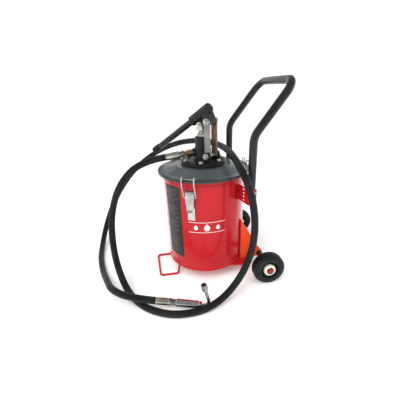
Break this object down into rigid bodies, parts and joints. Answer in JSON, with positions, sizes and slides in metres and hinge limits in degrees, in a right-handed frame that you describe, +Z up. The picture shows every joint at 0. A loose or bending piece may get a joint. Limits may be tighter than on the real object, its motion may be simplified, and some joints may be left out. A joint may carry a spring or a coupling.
{
  "type": "hand-lever gear oil pump on a two-wheeled trolley",
  "caption": "Red latched drum on a small two-wheeled trolley with a bent tube handle, a hand-lever plunger pump on its lid, and a long hose ending in a dispensing valve.",
  "frame": {"origin": "on the floor, midway between the front of the foot and the back of the handle and midway between the wheels", "axes": "+Z up, +Y towards the wheels and the handle, X along the wheel axle"},
  "size_m": [0.6416, 0.6891, 0.649],
  "materials": {
    "red_paint": "glossy bright red enamel",
    "lid_paint": "satin dark grey paint",
    "black_casting": "painted black rough casting",
    "black_paint": "satin black paint",
    "black_rubber": "smooth black rubber",
    "gland_packing": "greased braided packing",
    "zinc_steel": "bright zinc plating",
    "bronzed_steel": "yellow-brown passivated zinc",
    "dark_steel": "oiled machined steel",
    "brass": "machined brass",
    "chrome": "polished chrome plating",
    "tyre": "matte black moulded rubber",
    "wheel_plastic": "matte black moulding",
    "hub_plastic": "off-white moulding",
    "cap_plastic": "dull red push-on cap"
  },
  "bodies": {
    "trolley": {"drum": "red_paint", "base_plate": "red_paint", "foot": "red_paint", "bracket_left": "red_paint", "bracket_right": "red_paint", "gusset_left": "red_paint", "gusset_right": "red_paint", "lid": "lid_paint", "pump_body": "black_casting", "gland_nut": "black_casting", "handle": "black_paint", "axle_sleeves": "black_paint", "axle": "black_paint", "hose": "black_rubber", "handle_plugs": "black_rubber", "lid_gasket": "black_rubber", "gland_packing": "gland_packing", "flange_bolts": "zinc_steel", "bracket_bolts": "zinc_steel", "link_low_bolt": "zinc_steel", "swivel_nut": "zinc_steel", "ferrule_pump": "zinc_steel", "ferrule_valve": "zinc_steel", "valve_nuts": "zinc_steel", "latch_bases": "zinc_steel", "latch_rivets": "zinc_steel", "strainer": "zinc_steel", "barrel": "dark_steel", "outlet_adapter": "brass", "foot_valve": "brass", "valve_body": "chrome", "spout": "chrome", "spout_tip": "chrome", "axle_caps": "cap_plastic"},
    "plunger": {"plunger_rod": "chrome", "rod_clevis": "zinc_steel", "plunger_pin": "zinc_steel", "piston": "dark_steel", "piston_seal": "black_rubber"},
    "lever": {"lever_head": "black_casting", "lever_tube": "black_paint", "lever_grip": "black_rubber"},
    "link": {"link_plate_near": "zinc_steel", "link_plate_far": "bronzed_steel", "link_top_bolt": "zinc_steel"},
    "wheel_left": {"tyre_left": "tyre", "wheel_disc_left": "wheel_plastic", "wheel_hub_left": "hub_plastic"},
    "wheel_right": {"tyre_right": "tyre", "wheel_disc_right": "wheel_plastic", "wheel_hub_right": "hub_plastic"},
    "valve_ball": {"foot_ball": "zinc_steel"},
    "latch_a": {"latch_lever_a": "zinc_steel"},
    "bail_a": {"latch_bail_a": "zinc_steel"},
    "latch_b": {"latch_lever_b": "zinc_steel"},
    "bail_b": {"latch_bail_b": "zinc_steel"},
    "latch_c": {"latch_lever_c": "zinc_steel"},
    "bail_c": {"latch_bail_c": "zinc_steel"}
  },
  "joints": [
    {"name": "lever_swing", "type": "hinge", "parent": "plunger", "child": "lever", "pos_m": [0, -0.02945, 0.514], "axis": [-0.7071, 0.7071, 0], "range_deg": [0, 38]},
    {"name": "plunger_slide", "type": "slide", "parent": "trolley", "child": "plunger", "axis": [0, 0, 1], "range_m": [0, 0.0237]},
    {"name": "link_turn", "type": "hinge", "parent": "lever", "child": "link", "pos_m": [0.02404, -0.00541, 0.527], "axis": [-0.7071, 0.7071, 0], "range_deg": [-38.1, 0]},
    {"name": "wheel_left_spin", "type": "hinge", "parent": "trolley", "child": "wheel_left", "pos_m": [-0.176, 0.15555, 0.0546], "axis": [1, 0, 0], "continuous": true},
    {"name": "wheel_right_spin", "type": "hinge", "parent": "trolley", "child": "wheel_right", "pos_m": [0.176, 0.15555, 0.0546], "axis": [1, 0, 0], "continuous": true},
    {"name": "valve_ball_lift", "type": "slide", "parent": "trolley", "child": "valve_ball", "axis": [0, 0, 1], "range_m": [0, 0.003]},
    {"name": "latch_a_open", "type": "hinge", "parent": "trolley", "child": "latch_a", "pos_m": [0.13156, -0.09504, 0.334], "axis": [-0.4462, -0.8949, 0], "range_deg": [0, 115]},
    {"name": "bail_a_turn", "type": "hinge", "parent": "latch_a", "child": "bail_a", "pos_m": [0.13156, -0.09504, 0.32], "axis": [-0.4462, -0.8949, 0], "range_deg": [-140, 0]},
    {"name": "latch_b_open", "type": "hinge", "parent": "trolley", "child": "latch_b", "pos_m": [-0.00897, 0.11728, 0.334], "axis": [0.9981, 0.061, 0], "range_deg": [0, 115]},
    {"name": "bail_b_turn", "type": "hinge", "parent": "latch_b", "child": "bail_b", "pos_m": [-0.00897, 0.11728, 0.32], "axis": [0.9981, 0.061, 0], "range_deg": [-140, 0]},
    {"name": "latch_c_open", "type": "hinge", "parent": "trolley", "child": "latch_c", "pos_m": [-0.12258, -0.11059, 0.334], "axis": [-0.5519, 0.8339, 0], "range_deg": [0, 115]},
    {"name": "bail_c_turn", "type": "hinge", "parent": "latch_c", "child": "bail_c", "pos_m": [-0.12258, -0.11059, 0.32], "axis": [-0.5519, 0.8339, 0], "range_deg": [-140, 0]}
  ],
  "couplings": [
    {"joint": "plunger_slide", "follows": "lever_swing", "m_per_rad": 0.0356},
    {"joint": "link_turn", "follows": "lever_swing", "ratio": -1},
    {"joint": "bail_a_turn", "follows": "latch_a_open", "ratio": -1.2},
    {"joint": "bail_b_turn", "follows": "latch_b_open", "ratio": -1.2},
    {"joint": "bail_c_turn", "follows": "latch_c_open", "ratio": -1.2}
  ]
}
